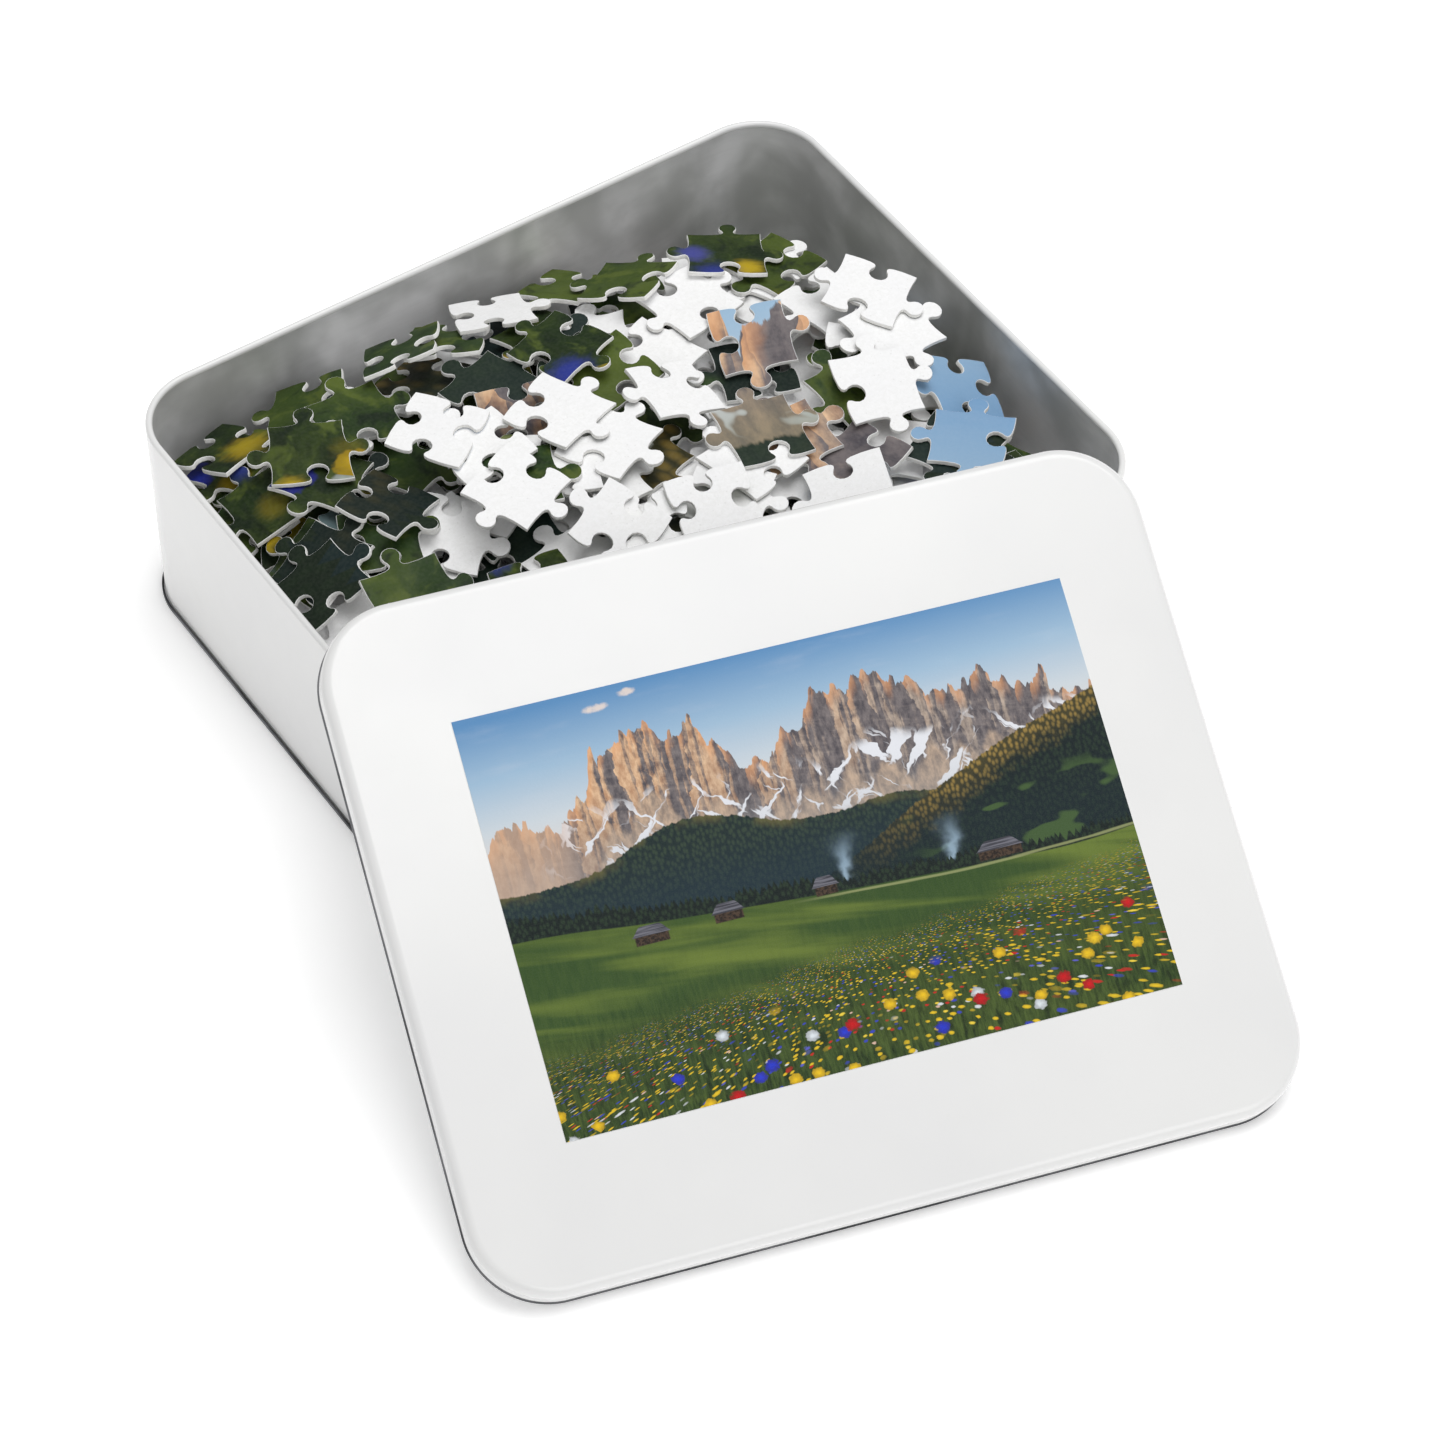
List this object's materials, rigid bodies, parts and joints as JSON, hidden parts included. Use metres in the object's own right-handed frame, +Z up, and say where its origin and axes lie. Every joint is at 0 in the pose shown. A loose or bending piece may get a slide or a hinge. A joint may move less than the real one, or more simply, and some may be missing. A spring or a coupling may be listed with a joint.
{
  "type": "boxed jigsaw puzzle",
  "caption": "Slip-lid tin of loose die-cut jigsaw puzzle pieces, with its printed lid leaning on the tin's rim.",
  "frame": {"origin": "centre of the tin's base, on the table", "axes": "+X along the tin's long side, +Y towards the tin's back, away from the lid's foot, +Z up"},
  "size_m": [0.2481, 0.3043, 0.0843],
  "materials": {
    "white_enamel": "gloss white enamel on tinplate",
    "bare_tinplate": "bare satin tinplate",
    "printed_picture": "semi-gloss colour print of a mountain meadow",
    "heap_chipboard": "loose die-cut chipboard, white back and colour print",
    "piece_picture_side": "satin colour print on white chipboard",
    "piece_back_side": "matt white chipboard back"
  },
  "bodies": {
    "tin": {"tin_wall": "white_enamel", "tin_bottom": "bare_tinplate", "lower_pieces_heap": "heap_chipboard", "inner_piece_r10_c17": "piece_back_side", "inner_piece_r09_c10": "piece_back_side", "inner_piece_r11_c16": "piece_back_side", "inner_piece_r02_c30": "piece_back_side", "inner_piece_r10_c18": "piece_picture_side", "inner_piece_r09_c07": "piece_back_side", "edge_piece_r01_c30": "piece_picture_side", "inner_piece_r02_c09": "piece_back_side", "inner_piece_r02_c21": "piece_picture_side", "inner_piece_r06_c04": "piece_picture_side", "inner_piece_r02_c03": "piece_picture_side", "inner_piece_r08_c29": "piece_picture_side", "inner_piece_r20_c22": "piece_picture_side", "inner_piece_r11_c06": "piece_picture_side", "inner_piece_r17_c22": "piece_picture_side", "inner_piece_r18_c09": "piece_picture_side", "inner_piece_r02_c06": "piece_back_side", "inner_piece_r03_c17": "piece_back_side", "inner_piece_r04_c26": "piece_back_side", "inner_piece_r08_c25": "piece_picture_side", "inner_piece_r10_c20": "piece_picture_side", "inner_piece_r02_c15": "piece_picture_side", "inner_piece_r08_c20": "piece_picture_side", "inner_piece_r03_c22": "piece_back_side", "inner_piece_r03_c06": "piece_back_side", "inner_piece_r10_c09": "piece_picture_side", "inner_piece_r08_c26": "piece_picture_side", "inner_piece_r13_c28": "piece_back_side", "inner_piece_r02_c07": "piece_back_side", "inner_piece_r08_c30": "piece_picture_side", "inner_piece_r06_c13": "piece_picture_side", "inner_piece_r02_c18": "piece_picture_side", "edge_piece_r21_c30": "piece_picture_side", "inner_piece_r10_c08": "piece_back_side"},
    "lid": {"lid_shell": "white_enamel", "lid_picture_label": "printed_picture"},
    "loose_edge_piece_r21_c04": {"edge_piece_r21_c04": "piece_back_side"},
    "loose_inner_piece_r02_c13": {"inner_piece_r02_c13": "piece_back_side"},
    "loose_inner_piece_r02_c24": {"inner_piece_r02_c24": "piece_picture_side"},
    "loose_inner_piece_r04_c02": {"inner_piece_r04_c02": "piece_picture_side"},
    "loose_inner_piece_r04_c08": {"inner_piece_r04_c08": "piece_picture_side"},
    "loose_inner_piece_r05_c05": {"inner_piece_r05_c05": "piece_back_side"},
    "loose_inner_piece_r06_c07": {"inner_piece_r06_c07": "piece_back_side"},
    "loose_inner_piece_r07_c05": {"inner_piece_r07_c05": "piece_picture_side"},
    "loose_inner_piece_r07_c14": {"inner_piece_r07_c14": "piece_picture_side"},
    "loose_inner_piece_r08_c03": {"inner_piece_r08_c03": "piece_picture_side"},
    "loose_inner_piece_r08_c28": {"inner_piece_r08_c28": "piece_back_side"},
    "loose_inner_piece_r09_c08": {"inner_piece_r09_c08": "piece_back_side"},
    "loose_inner_piece_r10_c19": {"inner_piece_r10_c19": "piece_picture_side"},
    "loose_inner_piece_r13_c15": {"inner_piece_r13_c15": "piece_back_side"},
    "loose_inner_piece_r13_c17": {"inner_piece_r13_c17": "piece_picture_side"},
    "loose_inner_piece_r17_c10": {"inner_piece_r17_c10": "piece_back_side"},
    "loose_inner_piece_r18_c07": {"inner_piece_r18_c07": "piece_picture_side"},
    "loose_inner_piece_r19_c02": {"inner_piece_r19_c02": "piece_back_side"},
    "loose_inner_piece_r19_c11": {"inner_piece_r19_c11": "piece_back_side"},
    "loose_inner_piece_r20_c28": {"inner_piece_r20_c28": "piece_picture_side"}
  },
  "joints": [
    {"name": "lid_lift", "type": "slide", "parent": "tin", "child": "lid", "axis": [0, 0, 1], "range_m": [0, 0.15]},
    {"name": "piece_lift_01", "type": "slide", "parent": "tin", "child": "loose_edge_piece_r21_c04", "axis": [0, 0, 1], "range_m": [0, 0.08]},
    {"name": "piece_lift_02", "type": "slide", "parent": "tin", "child": "loose_inner_piece_r02_c13", "axis": [0, 0, 1], "range_m": [0, 0.08]},
    {"name": "piece_lift_03", "type": "slide", "parent": "tin", "child": "loose_inner_piece_r02_c24", "axis": [0, 0, 1], "range_m": [0, 0.08]},
    {"name": "piece_lift_04", "type": "slide", "parent": "tin", "child": "loose_inner_piece_r04_c02", "axis": [0, 0, 1], "range_m": [0, 0.08]},
    {"name": "piece_lift_05", "type": "slide", "parent": "tin", "child": "loose_inner_piece_r04_c08", "axis": [0, 0, 1], "range_m": [0, 0.08]},
    {"name": "piece_lift_06", "type": "slide", "parent": "tin", "child": "loose_inner_piece_r05_c05", "axis": [0, 0, 1], "range_m": [0, 0.08]},
    {"name": "piece_lift_07", "type": "slide", "parent": "tin", "child": "loose_inner_piece_r06_c07", "axis": [0, 0, 1], "range_m": [0, 0.08]},
    {"name": "piece_lift_08", "type": "slide", "parent": "tin", "child": "loose_inner_piece_r07_c05", "axis": [0, 0, 1], "range_m": [0, 0.08]},
    {"name": "piece_lift_09", "type": "slide", "parent": "tin", "child": "loose_inner_piece_r07_c14", "axis": [0, 0, 1], "range_m": [0, 0.08]},
    {"name": "piece_lift_10", "type": "slide", "parent": "tin", "child": "loose_inner_piece_r08_c03", "axis": [0, 0, 1], "range_m": [0, 0.08]},
    {"name": "piece_lift_11", "type": "slide", "parent": "tin", "child": "loose_inner_piece_r08_c28", "axis": [0, 0, 1], "range_m": [0, 0.08]},
    {"name": "piece_lift_12", "type": "slide", "parent": "tin", "child": "loose_inner_piece_r09_c08", "axis": [0, 0, 1], "range_m": [0, 0.08]},
    {"name": "piece_lift_13", "type": "slide", "parent": "tin", "child": "loose_inner_piece_r10_c19", "axis": [0, 0, 1], "range_m": [0, 0.08]},
    {"name": "piece_lift_14", "type": "slide", "parent": "tin", "child": "loose_inner_piece_r13_c15", "axis": [0, 0, 1], "range_m": [0, 0.08]},
    {"name": "piece_lift_15", "type": "slide", "parent": "tin", "child": "loose_inner_piece_r13_c17", "axis": [0, 0, 1], "range_m": [0, 0.08]},
    {"name": "piece_lift_16", "type": "slide", "parent": "tin", "child": "loose_inner_piece_r17_c10", "axis": [0, 0, 1], "range_m": [0, 0.08]},
    {"name": "piece_lift_17", "type": "slide", "parent": "tin", "child": "loose_inner_piece_r18_c07", "axis": [0, 0, 1], "range_m": [0, 0.08]},
    {"name": "piece_lift_18", "type": "slide", "parent": "tin", "child": "loose_inner_piece_r19_c02", "axis": [0, 0, 1], "range_m": [0, 0.08]},
    {"name": "piece_lift_19", "type": "slide", "parent": "tin", "child": "loose_inner_piece_r19_c11", "axis": [0, 0, 1], "range_m": [0, 0.08]},
    {"name": "piece_lift_20", "type": "slide", "parent": "tin", "child": "loose_inner_piece_r20_c28", "axis": [0, 0, 1], "range_m": [0, 0.08]}
  ]
}
